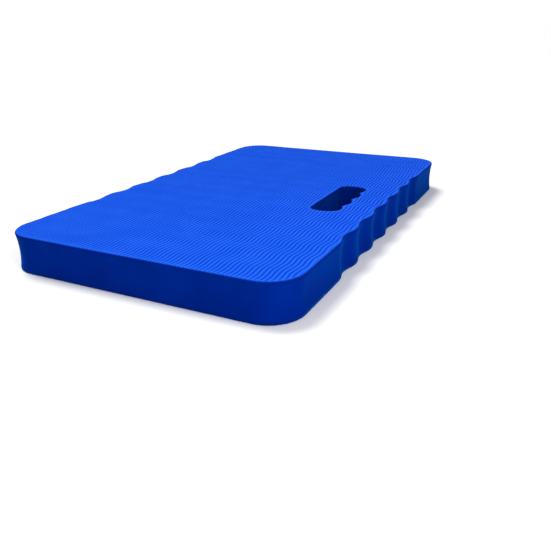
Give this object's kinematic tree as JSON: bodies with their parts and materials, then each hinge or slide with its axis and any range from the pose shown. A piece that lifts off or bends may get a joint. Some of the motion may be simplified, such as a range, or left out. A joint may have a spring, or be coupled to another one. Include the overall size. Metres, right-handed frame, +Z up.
{
  "type": "garden kneeling pad",
  "caption": "Thick rectangular foam kneeling pad with rounded corners, wavy ribbed top, scalloped long edges and a hand slot for carrying.",
  "frame": {"origin": "centre of the pad's underside, on the ground it lies on", "axes": "+X along the length, +Y across the width and away from the hand slot, +Z up out of the kneeling face"},
  "size_m": [0.4572, 0.2794, 0.035],
  "materials": {
    "core_foam": "matte",
    "top_skin_foam": "satin",
    "bottom_skin_foam": "satin"
  },
  "bodies": {
    "root": {"foam_core": "core_foam", "top_skin": "top_skin_foam", "bottom_skin": "bottom_skin_foam"}
  },
  "joints": []
}
